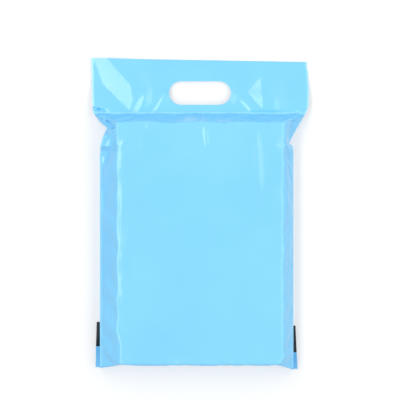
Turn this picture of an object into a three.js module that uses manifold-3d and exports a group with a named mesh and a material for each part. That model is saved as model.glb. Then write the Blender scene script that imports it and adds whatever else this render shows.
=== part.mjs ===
// A sealed poly mailer with a die-cut carry handle, packed with flat goods and lying on its back.
// Millimetres, +Z up. +X runs across the bag, +Y from the folded mouth to the handle, and Z = 0 is the
// table under the back film. The origin is at the middle of the bag's footprint.
import * as THREE from 'three';
import { LoftGeometry } from 'three/addons/geometries/LoftGeometry.js';
import { mergeVertices } from 'three/addons/utils/BufferGeometryUtils.js';
import Module from 'manifold-3d';

const wasm = await Module();
wasm.setup();

// The film tube, and the depth of the goods that it is pulled around
const filmWidth = 280; // flat, from one welded side edge to the other
const bagLength = 400; // from the folded mouth to the top edge of the handle
const goodsDepth = 50;
const filmBend = 7; // how far the film rounds off over an edge of the goods

// The welded side seams, which stand out past the front face at half the depth of the goods
const leftReach = 22.5;
const rightReach = 13.5;
const sideSlack = 6; // film width that the pleats beside the seams take up

// The handle panel: both films together, from the seal line across the bag to the top edge
const handleLength = 71;
const handleThickness = 0.8; // two films and the air between them
const sealHeight = 14; // of the seal line above the table
const topEdgeDrop = 5; // the right end of the top edge lies this much lower than the left end
const floorShare = 0.85; // share of the handle's length over which the panel sinks to the table
const rimWidth = 2; // over which the two films close to the welded edge
const handleSteps = 10;

// The neck, where the film closes from the full depth of the goods to the seal line, and the ears
// beside it, where each seam dips in before it runs out to the full width of the film
const neckLength = 18;
const leftNotch = { toSeal: 21, reach: 14, shoulder: 28 };
const rightNotch = { toSeal: 40, reach: 8.5, shoulder: 6 };
const neckSteps = 4;

// The grip: a slot with round ends
const gripWidth = 80;
const gripHeight = 31;
const gripToSeal = 10;

// The mouth, folded under the back and held by its glued flap, whose ends show past both seams
const mouthFold = 26;
const flapLength = 31;
const flapThickness = 0.8;
const flapOverhang = 6; // past each side seam

const bendSteps = 4;

// The goods are as wide as the film leaves room for between its two slanting sides
const seamHeight = goodsDepth / 2;
const slantingFilm = Math.hypot(leftReach, seamHeight) + Math.hypot(rightReach, seamHeight);
const goodsWidth = filmWidth - slantingFilm - sideSlack;

const mouthY = -bagLength / 2;
const handleEndY = bagLength / 2;
const sealY = handleEndY - handleLength;
const faceEndY = sealY - neckLength; // where the flat front face ends
const leftSeamX = -goodsWidth / 2 - leftReach;
const rightSeamX = goodsWidth / 2 + rightReach;

// Value at y in a list of [y, value] pairs with rising y, straight between them and level past the ends
function along(pairs, y) {
  const after = pairs.findIndex(([at]) => at > y);
  if (after < 0) return pairs.at(-1)[1];
  if (after === 0) return pairs[0][1];
  const [[y0, v0], [y1, v1]] = [pairs[after - 1], pairs[after]];
  return THREE.MathUtils.mapLinear(y, y0, y1, v0, v1);
}

// The line of one side seam, as [y, x]: side is -1 on the left and 1 on the right
function seamLine(side, seamX, notch) {
  const notchY = sealY - notch.toSeal;
  return [
    [notchY - notch.shoulder, seamX],
    [notchY, side * (goodsWidth / 2 + notch.reach)],
    [sealY, (side * filmWidth) / 2],
  ];
}
const leftSeam = seamLine(-1, leftSeamX, leftNotch);
const rightSeam = seamLine(1, rightSeamX, rightNotch);

// Middle of the handle panel above the table, sinking from the seal line until it lies flat
function panelHeight(y) {
  const rest = handleThickness / 2;
  const share = Math.min(1, (y - sealY) / (handleLength * floorShare));
  return rest + ((sealHeight - rest) * (1 + Math.cos(Math.PI * share))) / 2;
}

// How far the neck has closed at y, from 0 at the goods to 1 at the seal line
function neckClosed(y) {
  return THREE.MathUtils.clamp((y - faceEndY) / neckLength, 0, 1);
}

// Heights of the front film, the back film and the seams at y
function heightsAt(y) {
  if (y >= sealY) {
    const middle = panelHeight(y);
    return { front: middle + handleThickness / 2, back: middle - handleThickness / 2, seam: middle };
  }
  const closed = neckClosed(y);
  const bent = Math.max(0, mouthY + filmBend - y); // how far into the rounding at the mouth
  const rounding = filmBend - Math.sqrt(filmBend ** 2 - bent ** 2);
  return {
    front: THREE.MathUtils.lerp(goodsDepth - rounding, sealHeight + handleThickness / 2, closed),
    back: THREE.MathUtils.lerp(0, sealHeight - handleThickness / 2, closed),
    seam: THREE.MathUtils.lerp(seamHeight, sealHeight, closed),
  };
}

// One film across the bag, from the left seam over its two bends to the right seam, in X and Z
function filmRun(y, height, seam) {
  const closed = neckClosed(y);
  const face = THREE.MathUtils.lerp(goodsWidth / 2, filmWidth / 2 - rimWidth, closed);
  const bend = THREE.MathUtils.lerp(filmBend, rimWidth / 2, closed);
  const start = new THREE.Vector2(along(leftSeam, y), seam);
  const end = new THREE.Vector2(along(rightSeam, y), seam);
  const [left, right] = [new THREE.Vector2(-face, height), new THREE.Vector2(face, height)];
  const bendShare = (corner, to) => Math.min(0.5, bend / corner.distanceTo(to));
  const run = new THREE.Path().moveTo(start.x, start.y);
  const inLeft = left.clone().lerp(start, bendShare(left, start));
  const inRight = right.clone().lerp(end, bendShare(right, end));
  run.lineTo(inLeft.x, inLeft.y);
  run.quadraticCurveTo(left.x, left.y, left.x + bend, left.y);
  run.lineTo(right.x - bend, right.y);
  run.quadraticCurveTo(right.x, right.y, inRight.x, inRight.y);
  run.lineTo(end.x, end.y);
  return run.getPoints(bendSteps);
}

// The closed outline of the bag at y. The top edge of the handle slants, so the panel shears with it.
function sectionAt(y) {
  const { front, back, seam } = heightsAt(y);
  const over = filmRun(y, front, seam);
  const under = filmRun(y, back, seam).reverse().slice(1, -1);
  const slant = (topEdgeDrop * Math.max(0, y - sealY)) / handleLength;
  const place = ({ x, y: z }) => new THREE.Vector3(x, y - slant * (x / filmWidth + 0.5), z);
  return [...over, ...under].map(place);
}

// Every y at which the outline changes course
function stations() {
  const list = [...leftSeam, ...rightSeam].map(([y]) => y);
  for (let i = 0; i <= bendSteps; i++) {
    list.push(mouthY + filmBend * (1 - Math.cos((i / bendSteps) * (Math.PI / 2))));
  }
  for (let i = 0; i <= neckSteps; i++) list.push(faceEndY + (neckLength * i) / neckSteps);
  for (let i = 1; i <= handleSteps; i++) list.push(sealY + (handleLength * i) / handleSteps);
  return [...new Set(list)].sort((a, b) => a - b);
}

// Geometry to solid and back, for the joins and cuts
function solid(geometry) {
  const bare = new THREE.BufferGeometry().copy(geometry).deleteAttribute('normal').deleteAttribute('uv');
  const { attributes, index } = mergeVertices(bare, 1e-4);
  const triVerts = new Uint32Array(index.array);
  const vertProperties = new Float32Array(attributes.position.array);
  return new wasm.Manifold(new wasm.Mesh({ numProp: 3, vertProperties, triVerts }));
}

function geometryOf(body) {
  const { vertProperties, triVerts } = body.getMesh();
  const geometry = new THREE.BufferGeometry();
  geometry.setAttribute('position', new THREE.BufferAttribute(vertProperties, 3));
  geometry.setIndex(new THREE.BufferAttribute(triVerts, 1));
  geometry.computeVertexNormals();
  return geometry;
}

// Pouch, neck and handle panel as one skin
function pouch() {
  return new LoftGeometry(stations().map(sectionAt), { capStart: true, capEnd: true });
}

// The mouth folded under the back, with the flap beyond it, as one flat layer on the table
function mouthLayer() {
  const shape = new THREE.Shape();
  const [left, right] = [leftSeamX - flapOverhang, rightSeamX + flapOverhang];
  const end = mouthY + mouthFold + flapLength;
  shape.moveTo(left, mouthY).lineTo(right, mouthY).lineTo(right, end).lineTo(left, end).closePath();
  return new THREE.ExtrudeGeometry(shape, { depth: flapThickness, bevelEnabled: false });
}

// What the die punches out of the handle panel
function gripSlot() {
  const radius = gripHeight / 2;
  const straight = gripWidth / 2 - radius;
  const shape = new THREE.Shape();
  shape.absarc(straight, 0, radius, -Math.PI / 2, Math.PI / 2);
  shape.absarc(-straight, 0, radius, Math.PI / 2, (3 * Math.PI) / 2);
  const slot = new THREE.ExtrudeGeometry(shape, { depth: goodsDepth, bevelEnabled: false });
  return slot.translate(0, sealY + gripToSeal + radius, -goodsDepth / 2);
}

const film = new THREE.MeshStandardMaterial({ color: 0x92e0fb, roughness: 0.35, metalness: 0 });
const sealed = solid(pouch()).add(solid(mouthLayer()));
const bag = new THREE.Mesh(geometryOf(sealed.subtract(solid(gripSlot()))), film);
bag.name = 'mailer_bag';

const mailer = new THREE.Group();
mailer.add(bag);

export default mailer;
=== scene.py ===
import math

import bmesh
import bpy
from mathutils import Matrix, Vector, noise
from mathutils.geometry import intersect_point_line


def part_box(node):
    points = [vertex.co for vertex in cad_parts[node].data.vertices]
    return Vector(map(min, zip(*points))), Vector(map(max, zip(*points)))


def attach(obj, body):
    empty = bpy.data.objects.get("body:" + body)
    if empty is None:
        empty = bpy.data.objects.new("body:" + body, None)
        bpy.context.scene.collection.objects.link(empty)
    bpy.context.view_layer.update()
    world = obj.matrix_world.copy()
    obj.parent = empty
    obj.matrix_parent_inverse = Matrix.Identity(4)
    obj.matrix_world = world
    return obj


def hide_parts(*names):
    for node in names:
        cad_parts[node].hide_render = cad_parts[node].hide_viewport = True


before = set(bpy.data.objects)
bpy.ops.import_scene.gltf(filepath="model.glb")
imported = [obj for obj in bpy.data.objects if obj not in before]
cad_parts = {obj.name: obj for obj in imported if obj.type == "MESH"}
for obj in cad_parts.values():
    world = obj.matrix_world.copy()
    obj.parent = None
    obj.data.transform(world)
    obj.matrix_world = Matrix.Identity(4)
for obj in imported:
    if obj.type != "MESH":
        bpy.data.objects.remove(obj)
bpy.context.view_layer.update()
bagLow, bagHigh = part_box("mailer_bag")
mm = 0.001
print("frame loaded, bag box in mm:", [round(side / mm) for side in bagHigh - bagLow])

# The bag as a maker would measure it, in the frame's own axes: x across, y to the handle, z up
handleLength = 71 * mm
neckLength = 15 * mm
bag = dict(
    halfFilm=bagHigh.x,  # middle of the film to its welded edge
    frontZ=bagHigh.z,
    faceHalf=106 * mm,
    mouthY=bagLow.y + 2 * mm,  # fold line of the mouth, under the goods
    faceFromY=bagLow.y + 6 * mm,
    faceToY=bagHigh.y - handleLength - neckLength,
    sealY=bagHigh.y - handleLength,
    sealZ=14 * mm,
    sealWidth=2.4 * mm,  # flat strip of the cross weld
    sealSlope=0.35,
    endY=bagHigh.y,
    endDrop=5 * mm,  # right end of the top edge lies lower
    floorShare=0.85,  # of the handle, over which it sinks to the table
    filmGap=0.45 * mm,  # two films of the handle
    edgeWeld=2.5 * mm,  # over which that gap closes
    layerZ=0.9 * mm,  # back film on top of the folded flap
    layerEndY=bagLow.y + 57 * mm,
    layerFade=25 * mm,  # past the flap, over which the back film comes down to the table
    panelRest=0.8 * mm,  # middle of the handle above the table at its end
    earInset=3.2 * mm,  # last bend of the film to its welded edge, at the seal line
    leastSlope=0.8 * mm,  # least width of a side seen from above
    crown=1.2 * mm,  # of the front face
)
bends = dict(
    wall=5 * mm, neck=4 * mm, seal=1.5 * mm, slope=6 * mm, ear=2 * mm, fin=1 * mm, backNeck=8 * mm,
)
faceBends = {-1: 2 * mm, 1: 4 * mm}  # over the left and the right edge of the front face
# Side weld, where both films run out together, at its full width where the bag is this deep
fin = dict(width=3.5 * mm, gap=0.25 * mm, backKnee=0.5, atDepth=45 * mm)
halfColumns = 100

# The two welded side seams, -1 on the left and 1 on the right, as (y, x) and (y, z). At the mouth each
# seam ends in a tip that is pulled down and out past the fold
seamX = {
    -1: [(-196, -128.5), (74, -128.5), (86, -127.3), (96, -124.6), (103, -121.8), (107.5, -119.6),
         (110, -120.6), (115, -127.5), (122, -133.5), (129, -138), (136, -138.8), (200, -141)],
    1: [(-196, 120), (80, 120), (85.5, 118.8), (88.5, 115), (92, 116), (106, 123.4), (119, 131.4),
        (129, 136.8), (134, 139), (139, 140), (160, 141), (188, 140), (190, 138.8), (200, 138.5)],
}
seamZ = {
    -1: [(55, 25), (78, 27), (81, 29), (84, 36), (97, 36), (104, 28), (110, 24), (129, 14)],
    1: [(70, 25), (84, 27), (89, 26), (110, 21), (129, 14)],
}
seamTip = {-1: Vector((-130.5, -201, 0.9)) * mm, 1: Vector((123, -203.5, 0.9)) * mm}
# Edge of the front face, as (y, x), and the film's corners between it and the seam: share of the way, and
# how far each stands out, as (y, distance)
faceEdge = {
    -1: [(-198, 101.5), (-170, 101.5), (-152, 105.5), (129, 105.5)],
    1: [(-198, 96), (-183, 106), (129, 106)],
}
sideCorners = {
    -1: [(0.42, [(78, -1.2), (82, -3.6), (96, -3.4), (104, -1.2)]), (0.82, [(0, -0.6)])],
    1: [(0.26, [(0, 1.4)]), (0.68, [(0, 0.2)])],
}
cornerPull = {-1: 5.5 * mm, 1: 7.5 * mm}  # how far the seams are drawn past the fold at the mouth
cornerLength = 26 * mm
# Slow wave of the seams, from the mouth to toY
seamSway = dict(height=2.4 * mm, wave=46 * mm, toY=75 * mm, fade=35 * mm, seed=(3.7, 0.4))


def along(pairs, y):
    # straight between the pairs and level past their ends, pairs in millimetres
    yMm = y / mm
    if yMm <= pairs[0][0]:
        return pairs[0][1] * mm
    for (y0, v0), (y1, v1) in zip(pairs, pairs[1:]):
        if yMm <= y1:
            return (v0 + (v1 - v0) * (yMm - y0) / (y1 - y0)) * mm
    return pairs[-1][1] * mm


def smooth(share):
    share = min(1, max(0, share))
    return share * share * (3 - 2 * share)


def lengthMarks(points):
    # distance of each point along the straight stretches between them
    marks = [0]
    for a, b in zip(points, points[1:]):
        marks.append(marks[-1] + (b - a).length)
    return marks


bendShare = 0.49  # most of a stretch that one bend may take
tiny = 1e-9  # keeps a division off zero


def walk(points, cornerBends, distances):
    # places at those distances along straight stretches, with each corner rounded over its bend
    marks = lengthMarks(points)
    spans = [b - a for a, b in zip(marks, marks[1:])]
    eases = [min(bend, bendShare * before, bendShare * after)
             for bend, before, after in zip(cornerBends, spans, spans[1:])]
    places, stretch = [], 0
    for distance in distances:
        while stretch < len(points) - 2 and distance > marks[stretch + 1]:
            stretch += 1
        share = (distance - marks[stretch]) / max(tiny, spans[stretch])
        place = points[stretch].lerp(points[stretch + 1], share)
        for corner in (stretch, stretch + 1):
            if not 0 < corner < len(points) - 1:
                continue
            ease, past = eases[corner - 1], distance - marks[corner]
            if abs(past) < ease:
                knee = points[corner]
                start = knee + (points[corner - 1] - knee).normalized() * ease
                stop = knee + (points[corner + 1] - knee).normalized() * ease
                t = (past + ease) / (2 * ease)
                place = start.lerp(knee, t).lerp(knee.lerp(stop, t), t)
        places.append(place)
    return places


def spaced(start, stop, step):
    count = max(1, round((stop - start) / step))
    return [start + (stop - start) * i / count for i in range(count)]


def panelZ(y):
    # the handle sinks in one easy curve from the seal line until it lies on the table
    share = min(1, (y - bag["sealY"]) / ((bag["endY"] - bag["sealY"]) * bag["floorShare"]))
    rest = bag["panelRest"]
    return rest + (bag["sealZ"] - rest) * (1 + math.cos(math.pi * share)) / 2


# Rows of the film from the folded mouth to the top edge, closer where it bends or creases
sealFromY = bag["sealY"] - bag["sealWidth"]
frontCourse = [Vector((0, y, z)) for y, z in (
    (bag["mouthY"], bag["layerZ"]), (bag["faceFromY"], bag["frontZ"]), (bag["faceToY"], bag["frontZ"]),
    (sealFromY, bag["sealZ"] + bag["sealSlope"] * bag["sealWidth"]), (bag["sealY"], bag["sealZ"]))]
wallEnd, faceEnd, neckEnd, sealEnd = lengthMarks(frontCourse)[1:]
rowSteps = dict(wall=1.6 * mm, face=4 * mm, creases=1.4 * mm, seal=0.8 * mm)
pastWall, beforeNeck = 12 * mm, 66 * mm  # how far the closer rows reach onto the front face
bendEnd, creaseFrom = wallEnd + pastWall, faceEnd - beforeNeck
rowMarks = (spaced(0, bendEnd, rowSteps["wall"]) + spaced(bendEnd, creaseFrom, rowSteps["face"])
            + spaced(creaseFrom, neckEnd, rowSteps["creases"]) + spaced(neckEnd, sealEnd, rowSteps["seal"]))
frontRows = walk(frontCourse, [bends["wall"], bends["neck"], bends["seal"]], rowMarks)
handleYs = spaced(bag["sealY"], bag["endY"], rowSteps["creases"]) + [bag["endY"]]
rowCount = len(rowMarks) + len(handleYs)
print("film rows:", rowCount, "columns:", 2 * halfColumns)


def backZ(y):
    # flat on the table, over the flap at the mouth, up to the seal line at the neck
    over = bag["layerZ"] * smooth((bag["layerEndY"] + bag["layerFade"] - y) / bag["layerFade"])
    if y <= bag["faceToY"] - bends["backNeck"]:
        return over
    past = y - (bag["faceToY"] - bends["backNeck"])
    rise = bag["sealZ"] / (bag["sealY"] - bag["faceToY"])
    if past < 2 * bends["backNeck"]:
        return rise * past * past / (4 * bends["backNeck"])
    return rise * (y - bag["faceToY"])


def halfSection(row, film, side):
    # one film from the middle of the bag out to one seam
    front = frontRows[row]
    up = min(1, rowMarks[row] / wallEnd)  # share of the end wall below this row
    closed = smooth((front.y - bag["faceToY"]) / (sealFromY - bag["faceToY"]))
    backY = bag["mouthY"] + (bag["faceFromY"] - bag["mouthY"]) * up if up < 1 else front.y
    pull = cornerPull[side] * max(0, 1 - max(0, front.y - bag["faceFromY"]) / cornerLength) ** 2
    seam = Vector((along(seamX[side], front.y), front.y - pull, along(seamZ[side], front.y)))
    fromEnd = min(front.y - bag["faceFromY"], seamSway["toY"] - front.y) / seamSway["fade"]
    acrossSeed, upSeed = seamSway["seed"]
    sway = noise.noise(Vector((side * acrossSeed, front.y / seamSway["wave"], upSeed)))
    seam.z += seamSway["height"] * sway * smooth(fromEnd)
    if up < 1:
        foot = Vector((seam.x, bag["faceFromY"] - pull, seam.z))
        seam = seamTip[side].lerp(foot, up)
    y, z = (front.y, front.z) if film == 1 or row == 0 else (backY, backZ(backY))
    room = smooth((front.z - backZ(backY)) / fin["atDepth"]) * up * (1 - closed)
    edgeX = along(faceEdge[side], y) * (1 - closed) + (bag["halfFilm"] - bag["earInset"]) * closed
    edgeX = min(edgeX, abs(seam.x) - bag["leastSlope"])
    edge = Vector((side * edgeX, y, z))
    points = [Vector((0, y, z)), edge]
    root = seam + (Vector((edge.x, seam.y, front.z)) - seam).normalized() * fin["width"] * room
    if film == 1 or row == 0:
        across = seam - edge
        outward = Vector((-across.z, 0, across.x)).normalized() * side
        points += [edge.lerp(seam, share) + outward * along(stands, y) * room
                   for share, stands in sideCorners[side]]
    else:
        inward = Vector((-side, 0, 0)) * fin["gap"] * room
        points += [edge.lerp(root, fin["backKnee"]), root + inward]
    points.append(seam)
    total = sum((b - a).length for a, b in zip(points[1:], points[2:]))
    distances = []
    for i in range(halfColumns + 1):
        p = bag["halfFilm"] * i / halfColumns
        if p <= edgeX:
            distances.append(p)
        else:
            distances.append(edgeX + (p - edgeX) * total / (bag["halfFilm"] - edgeX))
    faceBend = faceBends[side] * (1 - closed) + bends["ear"] * closed
    lastBend = bends["slope"] if film == 1 or row == 0 else bends["fin"]
    return walk(points, [faceBend, bends["slope"], lastBend], distances)


def handleSection(y, film, side):
    seam = along(seamX[side], y)
    share = (y - bag["sealY"]) / handleLength
    places = []
    for i in range(halfColumns + 1):
        x = seam * i / halfColumns
        edgeGap = min(abs(seam) - abs(x), bag["endY"] - y) / bag["edgeWeld"]
        gap = bag["filmGap"] / 2 * min(1, edgeGap)
        lower = bag["endDrop"] * share * (x / (2 * bag["halfFilm"]) + 0.5)
        places.append(Vector((x, y - lower, panelZ(y) + film * gap)))
    return places


def filmPlaces(film):
    # whole film as rows of places, left seam to right seam
    rows = []
    for row in range(rowCount):
        if row < len(rowMarks):
            left, right = (halfSection(row, film, side) for side in (-1, 1))
        else:
            y = handleYs[row - len(rowMarks)]
            left, right = (handleSection(y, film, side) for side in (-1, 1))
        rows.append(left[:0:-1] + right)
    return rows


# Creases, seen from above in millimetres. A facet is a flat patch, its corners clockwise, that rises from
# its foot and stands proud, and the film around it falls back over a distance. A ridge is a line that
# stands up, or sinks if negative
handleFacets = [
    dict(corners=[(-121, 202), (-89, 164.5), (-87.2, 149), (-90, 130), (-126.5, 166), (-136, 195)],
         foot=(-122.5, 164), rise=(0.106, 0.132), back=45),
    dict(corners=[(79, 176), (82.6, 130), (61, 155.5)], foot=(72, 155.5), rise=(0.18, 0), back=40),
    dict(corners=[(-71, 153), (-72, 146), (-80, 130), (-87, 130), (-78, 148)], foot=(-84, 138),
         rise=(0.18, -0.07), back=12),
    dict(corners=[(-44.5, 151.5), (-57.5, 130), (-62.5, 130), (-49, 151.5)], foot=(-57, 138),
         rise=(0.18, -0.08), back=10),
    dict(corners=[(54, 145.5), (68.5, 130), (63, 130), (49, 146.5)], foot=(58, 138),
         rise=(0.18, 0.09), back=10),
]
handleRidges = [
    dict(line=[(96, 129), (95.6, 150)], width=7, height=0.4),
    dict(line=[(-15.5, 129), (-13.5, 137)], width=2.5, height=0.4),
    dict(line=[(13, 129), (8, 137.5)], width=3, height=0.4),
    dict(line=[(-152, 137), (-117, 130.5)], width=2.6, height=-5),
    dict(line=[(124, 129.7), (148, 134.5)], width=3, height=-2.5),
]
bodyRidges = [
    dict(line=[(6, 113), (9.5, 76)], width=4.5, height=0.7),
    dict(line=[(71, 113), (76, 12)], width=9, height=1.1),
    dict(line=[(21.6, 112), (21.8, 104)], width=2.5, height=0.25),
    dict(line=[(-128, 126), (-123.4, 120.7), (-118.2, 114.3), (-111.8, 109.8), (-105.5, 104)],
         width=3.2, height=-3),
    dict(line=[(-138, 129), (-120, 121.8), (-106, 113.5)], width=4, height=1.6),
    dict(line=[(-117.5, 83), (-119.5, 73.8), (-128.5, 54.5)], width=5, height=-1.8),
    dict(line=[(105, 113.5), (131, 129)], width=4, height=1.5),
    dict(line=[(110, 82), (114, 58), (119, 30)], width=3, height=-1.6),
    dict(line=[(113.5, 10), (114.5, -60), (113.5, -112)], width=2, height=0.7),
]
wallRidges = [  # slack folds across the mouth end, as (x, z)
    dict(line=[(-112, 50), (-72, 31), (-32, 23), (18, 21)], width=9, height=-5.5),
    dict(line=[(110, 50), (78, 34), (44, 29), (-4, 34)], width=8, height=-5),
    dict(line=[(-102, 32), (-62, 13), (-22, 8), (30, 10), (90, 26)], width=8, height=-4.8),
    dict(line=[(-52, 52), (-22, 40), (12, 39), (46, 52)], width=6, height=-3.2),
    dict(line=[(98, 38), (76, 14), (66, -4)], width=8, height=-4.6),
    dict(line=[(-126, 27), (-112, 12), (-101, -3)], width=7, height=-4),
    dict(line=[(119, 27), (107, 10), (98, -3)], width=7, height=-4),
]
wallFade = 2 * mm  # over which those folds end at the edge of the front face
# Soft roll of the film over the left edge, which fades out towards both ends
leftRoll = dict(width=5.5, fall=0.085, toY=104, toFade=10, fromY=-180, fromFade=140)
# A ridge tapers at its ends, in shares of its length, and its flanks are a little hollow
ridgeEnds = dict(taper=0.4, startAt=0.08, stopAt=1.02, hollow=1.3)
# The limp handle's facets begin beside the seal line, and slow waves grow towards its top edge
limp = dict(facetsFrom=128, facetsFade=5, wavesFrom=145, wavesFade=55, rise=1, sway=1.2, waveX=46, waveY=90,
            seed=3.1, lowest=0.6 * mm)


def nearLine(line, x, y):
    # distance to a drawn line, its nearest place and the share of it passed there
    point, best = Vector((x, y, 0)), None
    for i, (a, b) in enumerate(zip(line, line[1:])):
        a, b = Vector((*a, 0)), Vector((*b, 0))
        share = min(1, max(0, intersect_point_line(point, a, b)[1]))
        foot = a.lerp(b, share)
        gap = (point - foot).length
        if best is None or gap < best[0]:
            best = (gap, foot, (i + share) / (len(line) - 1))
    return best


def facetHeight(facet, x, y):
    corners = facet["corners"]
    ring = corners + corners[:1]
    inside = all((b[0] - a[0]) * (y - a[1]) <= (b[1] - a[1]) * (x - a[0]) for a, b in zip(ring, ring[1:]))
    gap, place = 0, (x, y)
    if not inside:
        gap, nearest, _ = nearLine(ring, x, y)
        place = nearest.xy
    if gap >= facet["back"]:
        return 0
    rise, foot = facet["rise"], facet["foot"]
    height = rise[0] * (place[0] - foot[0]) + rise[1] * (place[1] - foot[1])
    return height * smooth(1 - gap / facet["back"])


def ridgeHeight(ridge, x, y):
    gap, _, share = nearLine(ridge["line"], x, y)
    if gap >= ridge["width"]:
        return 0
    taper = smooth(min(share + ridgeEnds["startAt"], ridgeEnds["stopAt"] - share) / ridgeEnds["taper"])
    return ridge["height"] * taper * (1 - gap / ridge["width"]) ** ridgeEnds["hollow"]


def handleLift(x, y):
    # how far both films of the handle stand off its plain course
    xMm, yMm = x / mm, y / mm
    fromSeal = smooth((yMm - limp["facetsFrom"]) / limp["facetsFade"])
    lift = sum(facetHeight(facet, xMm, yMm) for facet in handleFacets) * fromSeal
    lift += sum(ridgeHeight(ridge, xMm, yMm) for ridge in handleRidges)
    wave = noise.noise(Vector((xMm / limp["waveX"], yMm / limp["waveY"], limp["seed"])))
    grown = smooth((yMm - limp["wavesFrom"]) / limp["wavesFade"])
    lift += grown * max(0, limp["rise"] + limp["sway"] * wave)
    return max(lift * mm, limp["lowest"] - panelZ(y))


def bodyLift(place):
    # how far the front film stands off its plain course
    xMm, yMm = place.x / mm, place.y / mm
    lift = sum(ridgeHeight(ridge, xMm, yMm) for ridge in bodyRidges)
    inRoll = -xMm - along(faceEdge[-1], place.y) / mm + leftRoll["width"]
    inRoll = min(leftRoll["width"], max(0, inRoll)) * smooth((leftRoll["toY"] - yMm) / leftRoll["toFade"])
    lift -= leftRoll["fall"] * inRoll * smooth((yMm - leftRoll["fromY"]) / leftRoll["fromFade"])
    onWall = smooth((bag["faceFromY"] - place.y) / wallFade + 0.5)
    if onWall:
        lift += onWall * sum(ridgeHeight(ridge, xMm, place.z / mm) for ridge in wallRidges)
    across = min(1, abs(place.x) / bag["faceHalf"])
    run = (place.y - bag["faceFromY"]) / (bag["faceToY"] - bag["faceFromY"])
    lift += bag["crown"] / mm * (1 - across ** 2) * max(0, 1 - abs(2 * run - 1) ** 4)
    return lift * mm


grip = dict(straight=24.5 * mm, radius=15.5 * mm, y=bag["sealY"] + 25.5 * mm)  # slot with round ends


def inGrip(x, y):
    dx = max(0, abs(x) - grip["straight"])
    return math.hypot(dx, y - grip["y"]) < grip["radius"]


def onGrip(place):
    # nearest place on the slot's outline, at the same height
    spine = Vector((max(-grip["straight"], min(grip["straight"], place.x)), grip["y"], 0))
    out = Vector((place.x, place.y, 0)) - spine
    rim = spine + out.normalized() * grip["radius"]
    return Vector((rim.x, rim.y, place.z))


# Each film is let go as cloth that was cut a little larger than its course and is held at its welds, so
# the slack in it buckles round the goods. It is reckoned ten times as large, which suits the solver
slack = dict(
    scale=10, columnStep=2, rowGap=2.6 * mm, frames=30, cap=5 * mm, heldColumns=2, tableZ=2 * mm,
    least=0.009, most=0.048, atSide=0.25, atFold=1, atNeck=0.2,  # slack, and shares of the most
    nudge=0.7 * mm, nudgeWave=27 * mm, patchWave=70 * mm,  # unevenness that the buckles start from
    goodsGap=0.8 * mm, goodsBend=3 * mm,
    endGap=5 * mm, outward=0.4,  # room inside the mouth end, and the share that stands out there
    foldReach=1.3, neckFade=24 * mm, sideFade=8 * mm,  # where the slack ends
    evenShare=0.75, unevenShare=1.1,  # of the patches
    faceShare=0.2,  # how little of it shows on the taut front face, which ends softly
    tautPast=4 * mm, tautSide=9 * mm, tautMouth=16 * mm, tautNeck=55 * mm,
)
solver = dict(
    quality=6, mass=0.08, air=6, stretch=40, shear=20, bend=0.3, damping=10,
    clearance=0.004, goodsClearance=0.004, friction=8, collisions=3,
)


def makeGoods():
    # only stands inside while the film settles
    gap = Vector((1, 1, 1)) * slack["goodsGap"]
    low = Vector((-bag["faceHalf"], bag["faceFromY"] + slack["endGap"], bag["layerZ"])) + gap
    high = Vector((bag["faceHalf"], bag["faceToY"], bag["frontZ"])) - gap
    bm = bmesh.new()
    bmesh.ops.create_cube(bm, size=1)
    bmesh.ops.scale(bm, vec=(high - low) * slack["scale"], verts=bm.verts)
    bmesh.ops.translate(bm, vec=(low + high) / 2 * slack["scale"], verts=bm.verts)
    bmesh.ops.bevel(bm, geom=bm.edges[:], offset=slack["goodsBend"] * slack["scale"], segments=3, profile=0.5,
                    affect="EDGES", material=-1)
    mesh = bpy.data.meshes.new("goods")
    bm.to_mesh(mesh)
    bm.free()
    goods = bpy.data.objects.new("goods", mesh)
    bpy.context.scene.collection.objects.link(goods)
    goods.modifiers.new("collision", "COLLISION")
    goods.collision.thickness_outer = solver["goodsClearance"]
    goods.collision.cloth_friction = solver["friction"]
    return goods


def looseness(row, place):
    # share of the most slack: at the fold, in the neck and along the sides
    neckFade, sideFade = slack["neckFade"], slack["sideFade"]
    atFold = slack["atFold"] * smooth(slack["foldReach"] - rowMarks[row] / wallEnd)
    atNeck = slack["atNeck"] * smooth((rowMarks[row] - faceEnd + neckFade / 2) / neckFade)
    atSide = slack["atSide"] * smooth((abs(place.x) - bag["faceHalf"] + sideFade) / sideFade)
    uneven = slack["evenShare"] + slack["unevenShare"] * noise.noise(place / slack["patchWave"])
    return min(1, max(0, max(atFold, atNeck, atSide) * uneven))


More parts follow.
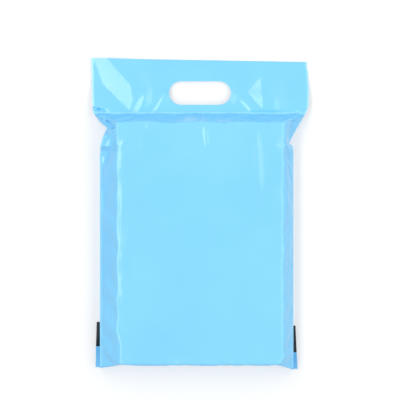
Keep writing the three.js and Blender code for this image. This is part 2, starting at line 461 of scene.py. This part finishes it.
def looseFilm(film, places, rows, columns):
    scale = slack["scale"]
    bm = bmesh.new()
    bmesh.ops.create_grid(bm, x_segments=len(columns) - 1, y_segments=len(rows) - 1, size=1)
    at, loose, held = {}, [], []
    for vert in bm.verts:
        i = round((vert.co.x + 1) / 2 * (len(columns) - 1))
        j = round((vert.co.y + 1) / 2 * (len(rows) - 1))
        place = places[rows[j]][columns[i]]
        at[j, i] = len(loose)
        loose.append(looseness(rows[j], place))
        fromSide = min(i, len(columns) - 1 - i)
        ends = j in (0, len(rows) - 1)
        if ends or fromSide < slack["heldColumns"] or (film == -1 and place.z < slack["tableZ"]):
            held.append(at[j, i])
            vert.co = place * scale
        else:
            nudge = slack["nudge"] * noise.noise(place / slack["nudgeWave"])
            vert.co = (place + Vector((0, 0, film * nudge))) * scale
    mesh = bpy.data.meshes.new("looseFilm")
    bm.to_mesh(mesh)
    bm.free()
    piece = bpy.data.objects.new("looseFilm", mesh)
    bpy.context.scene.collection.objects.link(piece)
    piece.vertex_groups.new(name="held").add(held, 1, "REPLACE")
    taut = piece.vertex_groups.new(name="taut")
    for index, share in enumerate(loose):
        taut.add([index], 1 - share, "REPLACE")
    modifier = piece.modifiers.new("film", "CLOTH")
    settings = modifier.settings
    settings.quality = solver["quality"]
    settings.mass = solver["mass"]
    settings.air_damping = solver["air"]
    settings.tension_stiffness = settings.compression_stiffness = solver["stretch"]
    settings.shear_stiffness = solver["shear"]
    settings.bending_stiffness = solver["bend"]
    settings.tension_damping = settings.compression_damping = settings.shear_damping = solver["damping"]
    settings.vertex_group_mass = "held"
    settings.vertex_group_shrink = "taut"
    settings.shrink_min, settings.shrink_max = -slack["most"], -slack["least"]  # negative, so it grows
    settings.effector_weights.gravity = 0
    modifier.collision_settings.distance_min = solver["clearance"]
    modifier.collision_settings.collision_quality = solver["collisions"]
    modifier.point_cache.frame_end = slack["frames"]
    return piece, at


def evened(line):
    # each move averaged with its two neighbours
    return [line[0]] + [(a + b * 2 + c) / 4 for a, b, c in zip(line, line[1:], line[2:])] + [line[-1]]


def settle(film, places):
    # how far each place of the film moves as it settles, capped
    rows = [0]
    for row in range(1, len(rowMarks)):
        if rowMarks[row] - rowMarks[rows[-1]] >= slack["rowGap"] or row == len(rowMarks) - 1:
            rows.append(row)
    columns = list(range(0, 2 * halfColumns + 1, slack["columnStep"]))
    piece, at = looseFilm(film, places, rows, columns)
    for tick in range(1, slack["frames"] + 1):
        bpy.context.scene.frame_set(tick)
    settled = piece.evaluated_get(bpy.context.evaluated_depsgraph_get()).to_mesh()
    moves = {}
    for (j, i), index in at.items():
        move = settled.vertices[index].co / slack["scale"] - places[rows[j]][columns[i]]
        moves[j, i] = move * min(1, slack["cap"] / max(move.length, tiny))
    print("film settled, longest move in mm:", round(max(move.length for move in moves.values()) / mm, 1))
    bpy.context.scene.frame_set(1)
    bpy.data.meshes.remove(piece.data)
    full = []
    for row, mark in enumerate(rowMarks):
        j = max(k for k, start in enumerate(rows[:-1]) if start <= row)
        t = (mark - rowMarks[rows[j]]) / (rowMarks[rows[j + 1]] - rowMarks[rows[j]])
        line = []
        for column in range(2 * halfColumns + 1):
            i = min(column // slack["columnStep"], len(columns) - 2)
            u = column / slack["columnStep"] - i
            near, far = (moves[k, i].lerp(moves[k, i + 1], u) for k in (j, j + 1))
            line.append(near.lerp(far, t))
        full.append(line)
    acrossRows = zip(*[evened(line) for line in full])
    return [list(line) for line in zip(*[evened(line) for line in acrossRows])]


def freedom(place):
    # the film hangs free on the sides and ends, and is taut over the front of the goods
    inX = smooth((bag["faceHalf"] + slack["tautPast"] - abs(place.x)) / slack["tautSide"])
    inY = smooth((place.y - bag["faceFromY"]) / slack["tautMouth"])
    inY *= smooth((bag["faceToY"] - place.y) / slack["tautNeck"])
    return 1 - (1 - slack["faceShare"]) * inX * inY


# Where the welds are painted paler as a highlight along them, the columns and rows that stay calm beside
# them, how near places merge, and from which angle an edge is sharp
joins = dict(pastSeal=0.5 * mm, sideColumns=1, calm=5, merge=0.02 * mm, sharp=math.radians(75))


def makeFilm(bm, film):
    # a flat grid, then every vertex goes to its place on the bag
    made = bmesh.ops.create_grid(bm, x_segments=2 * halfColumns, y_segments=rowCount - 1, size=1)
    weldHighlightLayer = bm.verts.layers.float["weldHighlight"]
    places = filmPlaces(film)
    moves = settle(film, places)
    bodyVerts = []
    for vert in made["verts"]:
        column = round((vert.co.x + 1) / 2 * 2 * halfColumns)
        row = round((vert.co.y + 1) / 2 * (rowCount - 1))
        vert.co = places[row][column]
        fromSide = halfColumns - abs(column - halfColumns)
        # the cross weld and the side welds are marked for a paler colour, a painted highlight along them
        crossWeld = -bag["sealWidth"] < vert.co.y - bag["sealY"] < joins["pastSeal"]
        vert[weldHighlightLayer] = 1 if crossWeld or fromSide <= joins["sideColumns"] else 0
        if row >= len(rowMarks):
            vert.co.z += handleLift(vert.co.x, vert.co.y)
        else:
            move = moves[row][column] * freedom(vert.co)
            if rowMarks[row] < wallEnd and move.y < 0:
                move.y *= slack["outward"]
            vert.co += move
            bodyVerts.append((vert, smooth(fromSide / joins["calm"]) * smooth(row / joins["calm"])))
    if film == -1:
        bmesh.ops.reverse_faces(bm, faces=list({f for v in made["verts"] for f in v.link_faces}))
        return
    bm.normal_update()
    lifted = [vert.co + vert.normal * bodyLift(vert.co) * fade for vert, fade in bodyVerts]
    for (vert, _), place in zip(bodyVerts, lifted):
        vert.co = place


def splitCorners(bm):
    # at its corners each film is cut from the corner inwards, because the other cut would lie on both films
    for corner in [v for v in bm.verts if len(v.link_edges) == 2]:
        for face in list(corner.link_faces):
            beside = [e.other_vert(corner) for e in corner.link_edges]
            opposite = next(v for v in face.verts if v is not corner and v not in beside)
            bmesh.utils.face_split(face, corner, opposite)


def cutGrip(bm):
    inside = [f for f in bm.faces if inGrip(*f.calc_center_median().xy)]
    bmesh.ops.delete(bm, geom=inside, context="FACES")
    rim = [e for e in bm.edges if e.is_boundary]
    for vert in {v for e in rim for v in e.verts}:
        vert.co = onGrip(vert.co)
    bmesh.ops.bridge_loops(bm, edges=rim)


# The mouth, folded under the back, and beyond it the glued flap with the film's black inside upwards. Both
# lie a little askew. Lines across them are (x, y) from left to right
flap = dict(
    fold=[(-136, -201), (-122, -201.2), (-102, -197.5), (96, -197.5), (112, -201.5), (127, -203.7)],
    mouthEdge=[(-136, -173.5), (127, -181.6)],
    end=[(-136, -142), (127, -146.8)],
    left=(-135.6 * mm, -134 * mm), right=(126.8 * mm, 123.8 * mm),  # at the fold and at the flap's end
    columns=90, mouthRows=10, flapRows=12, thick=0.5 * mm, offTable=0.05 * mm,
    curl=5 * mm, curlWidth=24 * mm, curlShare=0.7, curlSway=0.5, waveX=40 * mm, waveY=17 * mm, seed=7.7,
)


def makeFlap(bm):
    rows = flap["mouthRows"] + flap["flapRows"]
    made = bmesh.ops.create_grid(bm, x_segments=flap["columns"], y_segments=rows, size=1)
    faces = list({f for v in made["verts"] for f in v.link_faces})
    for vert in made["verts"]:
        across, row = (vert.co.x + 1) / 2, (vert.co.y + 1) / 2 * rows
        left, right = (a + (b - a) * row / rows for a, b in (flap["left"], flap["right"]))
        x = left + (right - left) * across
        fold, mouthEdge, end = (along(flap[line], x) for line in ("fold", "mouthEdge", "end"))
        if row <= flap["mouthRows"]:
            y = fold + (mouthEdge - fold) * row / flap["mouthRows"]
        else:
            y = mouthEdge + (end - mouthEdge) * (row - flap["mouthRows"]) / flap["flapRows"]
        lip = smooth(1 - min(x - left, right - x) / flap["curlWidth"])
        wave = noise.noise(Vector((x / flap["waveX"], y / flap["waveY"], flap["seed"])))
        wave = flap["curlShare"] + flap["curlSway"] * wave
        lip *= lip * smooth(row / flap["mouthRows"])
        rest = flap["thick"] + flap["offTable"]
        rest += (bag["layerZ"] - rest) * smooth(1 - row / flap["mouthRows"])  # meets the bag at the fold
        vert.co = (x, y, rest + flap["curl"] * lip * wave)
    for face in faces:
        middle = face.calc_center_median()
        face.material_index = 1 if middle.y > along(flap["mouthEdge"], middle.x) else 0
    bmesh.ops.solidify(bm, geom=faces, thickness=flap["thick"])


def makeBag():
    bm = bmesh.new()
    # layer that marks the welds painted paler, a painted highlight
    bm.verts.layers.float.new("weldHighlight")
    goods = makeGoods()
    for film in (1, -1):
        makeFilm(bm, film)
    bpy.data.meshes.remove(goods.data)
    bmesh.ops.remove_doubles(bm, verts=bm.verts, dist=joins["merge"])
    print("open edges left:", sum(e.is_boundary for e in bm.edges))
    splitCorners(bm)
    cutGrip(bm)
    makeFlap(bm)
    for face in bm.faces:
        face.smooth = True
    for edge in bm.edges:
        if edge.is_manifold and edge.calc_face_angle() > joins["sharp"]:
            edge.smooth = False
    mesh = bpy.data.meshes.new("mailer_film")
    bm.to_mesh(mesh)
    bm.free()
    piece = bpy.data.objects.new("mailer_film", mesh)
    bpy.context.scene.collection.objects.link(piece)
    return piece


# the paler blue for the welds is a painted highlight along the seal line and the side seams
filmFinish = dict(
    blue=((0.205, 0.625, 1, 1), (0.225, 0.66, 1, 1)), weldHighlightBlue=(0.29, 0.72, 1, 1), blueGloss=(0.15, 0.2),
    black=((0.004, 0.009, 0.016, 1), (0.008, 0.014, 0.022, 1)), blackGloss=(0.3, 0.42),
    cloud=11, crinkle=150, crinkleDeep=0.05 * mm, dieLines=(1500, 10, 10), dieLinesDeep=0.004 * mm,
    noiseRange=(0.3, 0.7),  # of the noise that spans from one level of a patch to the other
)
rangeSockets = ("From Min", "From Max", "To Min", "To Max")


def patch(nodes, links, place, scale, low=0, high=1, detail=2):
    # soft patches between two levels
    cloud = nodes.new("ShaderNodeTexNoise")
    cloud.inputs["Scale"].default_value = scale
    cloud.inputs["Detail"].default_value = detail
    links.new(place, cloud.inputs["Vector"])
    level = nodes.new("ShaderNodeMapRange")
    for name, value in zip(rangeSockets, (*filmFinish["noiseRange"], low, high)):
        level.inputs[name].default_value = value
    links.new(cloud.outputs["Fac"], level.inputs["Value"])
    return level.outputs[0]


def blend(nodes, links, share, first, second):
    mix = nodes.new("ShaderNodeMix")
    mix.data_type = "RGBA"
    mix.inputs["B"].default_value = second
    if isinstance(first, tuple):
        mix.inputs["A"].default_value = first
    else:
        links.new(first, mix.inputs["A"])
    links.new(share, mix.inputs["Factor"])
    return mix.outputs["Result"]


def bumped(nodes, links, height, deep, under=None):
    bump = nodes.new("ShaderNodeBump")
    bump.inputs["Distance"].default_value = deep
    links.new(height, bump.inputs["Height"])
    if under:
        links.new(under, bump.inputs["Normal"])
    return bump.outputs["Normal"]


def polyFilm(name, colours, gloss, weldHighlightColour=None):
    # blown film: faint clouds in its colour, a fine crinkle, die lines along the tube, and, if given, a paler
    # colour on the welds as a painted highlight
    material = bpy.data.materials.new(name)
    material.use_nodes = True
    nodes, links = material.node_tree.nodes, material.node_tree.links
    shader = nodes["Principled BSDF"]
    place = nodes.new("ShaderNodeTexCoord").outputs["Object"]
    colour = blend(nodes, links, patch(nodes, links, place, filmFinish["cloud"]), *colours)
    # the welds are painted paler: a painted highlight along the seal line and the side seams
    if weldHighlightColour:
        weldHighlight = nodes.new("ShaderNodeAttribute")
        weldHighlight.attribute_name = "weldHighlight"
        colour = blend(nodes, links, weldHighlight.outputs["Fac"], colour, weldHighlightColour)
    links.new(colour, shader.inputs["Base Color"])
    links.new(patch(nodes, links, place, filmFinish["crinkle"] / 2, *gloss), shader.inputs["Roughness"])
    stretched = nodes.new("ShaderNodeMapping")
    stretched.inputs["Scale"].default_value = filmFinish["dieLines"]
    links.new(place, stretched.inputs["Vector"])
    lines = patch(nodes, links, stretched.outputs[0], 1, detail=1)
    crinkle = patch(nodes, links, place, filmFinish["crinkle"])
    fine = bumped(nodes, links, lines, filmFinish["dieLinesDeep"])
    links.new(bumped(nodes, links, crinkle, filmFinish["crinkleDeep"], fine), shader.inputs["Normal"])
    return material


bagFilm = makeBag()
blueOutside = polyFilm("blueOutside", filmFinish["blue"], filmFinish["blueGloss"], filmFinish["weldHighlightBlue"])
bagFilm.data.materials.append(blueOutside)
bagFilm.data.materials.append(polyFilm("blackInside", filmFinish["black"], filmFinish["blackGloss"]))
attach(bagFilm, "root")
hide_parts("mailer_bag")
print("bag film made, faces:", len(bagFilm.data.polygons))

# Floor, lights and camera
studio = dict(
    floorSize=20, floorColour=(0.97, 0.97, 0.97, 1), world=0.38,
    cameraY=16 * mm, cameraRise=2.2, frameWidth=508 * mm,
    whiteFloor=(0.3, 1.3, 0.45, 1),  # from one distance to another, how much of the floor is plain white
    strips=[
        dict(name="leftStrip", x=-0.8, z=2, ends=(-1.2, 2.1), width=0.55, power=29),
        dict(name="rightStrip", x=1.15, z=2, ends=(-1.2, 2.6), width=1.2, power=28),
        dict(name="lowRightStrip", x=2.4, z=0.8, ends=(-1.2, 1.4), width=0.3, power=2.5),
    ],
)


def seenRay(nodes, links):
    # 1 for a ray from the camera or from a reflection, 0 for light that falls on the bag
    ray = nodes.new("ShaderNodeLightPath")
    seen = ray.outputs["Is Camera Ray"]
    for kind in ("Is Glossy Ray", "Is Transmission Ray"):
        either = nodes.new("ShaderNodeMath")
        either.operation = "MAXIMUM"
        links.new(seen, either.inputs[0])
        links.new(ray.outputs[kind], either.inputs[1])
        seen = either.outputs[0]
    return seen


def addFloor():
    bm = bmesh.new()
    bmesh.ops.create_grid(bm, x_segments=1, y_segments=1, size=studio["floorSize"] / 2)
    mesh = bpy.data.meshes.new("floor")
    bm.to_mesh(mesh)
    bm.free()
    floor = bpy.data.objects.new("floor", mesh)
    bpy.context.scene.collection.objects.link(floor)
    material = bpy.data.materials.new("paleFloor")
    material.use_nodes = True
    nodes, links = material.node_tree.nodes, material.node_tree.links
    shader = nodes["Principled BSDF"]
    shader.inputs["Base Color"].default_value = studio["floorColour"]
    shader.inputs["Roughness"].default_value = 1
    shader.inputs["Specular IOR Level"].default_value = 0
    white = nodes.new("ShaderNodeEmission")
    distance = nodes.new("ShaderNodeVectorMath")
    distance.operation = "LENGTH"
    links.new(nodes.new("ShaderNodeTexCoord").outputs["Object"], distance.inputs[0])
    share = nodes.new("ShaderNodeMapRange")
    for name, value in zip(rangeSockets, studio["whiteFloor"]):
        share.inputs[name].default_value = value
    links.new(distance.outputs["Value"], share.inputs["Value"])
    seen = nodes.new("ShaderNodeMath")
    seen.operation = "MULTIPLY"
    links.new(share.outputs[0], seen.inputs[0])
    links.new(seenRay(nodes, links), seen.inputs[1])
    mix = nodes.new("ShaderNodeMixShader")
    links.new(seen.outputs[0], mix.inputs[0])
    links.new(shader.outputs[0], mix.inputs[1])
    links.new(white.outputs[0], mix.inputs[2])
    links.new(mix.outputs[0], nodes["Material Output"].inputs["Surface"])
    mesh.materials.append(material)


def addLight(name, place, size, power, aim):
    lamp = bpy.data.lights.new(name, "AREA")
    lamp.shape, lamp.size, lamp.size_y, lamp.energy = "RECTANGLE", *size, power
    light = bpy.data.objects.new(name, lamp)
    light.location = place
    light.rotation_euler = aim
    bpy.context.scene.collection.objects.link(light)


def addStrip(name, x, z, ends, width, power):
    # a long narrow light beside the bag, along y, that glints in the creases
    y = sum(ends) / 2
    addLight(name, (x, y, z), (width, ends[1] - ends[0]), power, (0, math.atan2(x, z), 0))


def addWorld():
    world = bpy.data.worlds.new("studio")
    bpy.context.scene.world = world
    world.use_nodes = True
    nodes, links = world.node_tree.nodes, world.node_tree.links
    background = nodes["Background"]
    background.inputs["Color"].default_value = (1, 1, 1, 1)
    level = nodes.new("ShaderNodeMapRange")
    level.inputs["To Min"].default_value = studio["world"]
    level.inputs["To Max"].default_value = 1
    links.new(seenRay(nodes, links), level.inputs["Value"])
    links.new(level.outputs[0], background.inputs["Strength"])


def addCamera():
    data = bpy.data.cameras.new("camera")
    data.lens = data.sensor_width * studio["cameraRise"] / studio["frameWidth"]
    camera = bpy.data.objects.new("camera", data)
    camera.location = (0, studio["cameraY"], bag["frontZ"] + studio["cameraRise"])
    bpy.context.scene.collection.objects.link(camera)
    bpy.context.scene.camera = camera


addFloor()
for light in studio["strips"]:
    addStrip(**light)
addWorld()
addCamera()
bpy.context.scene.view_settings.view_transform = "Standard"
print("studio set")
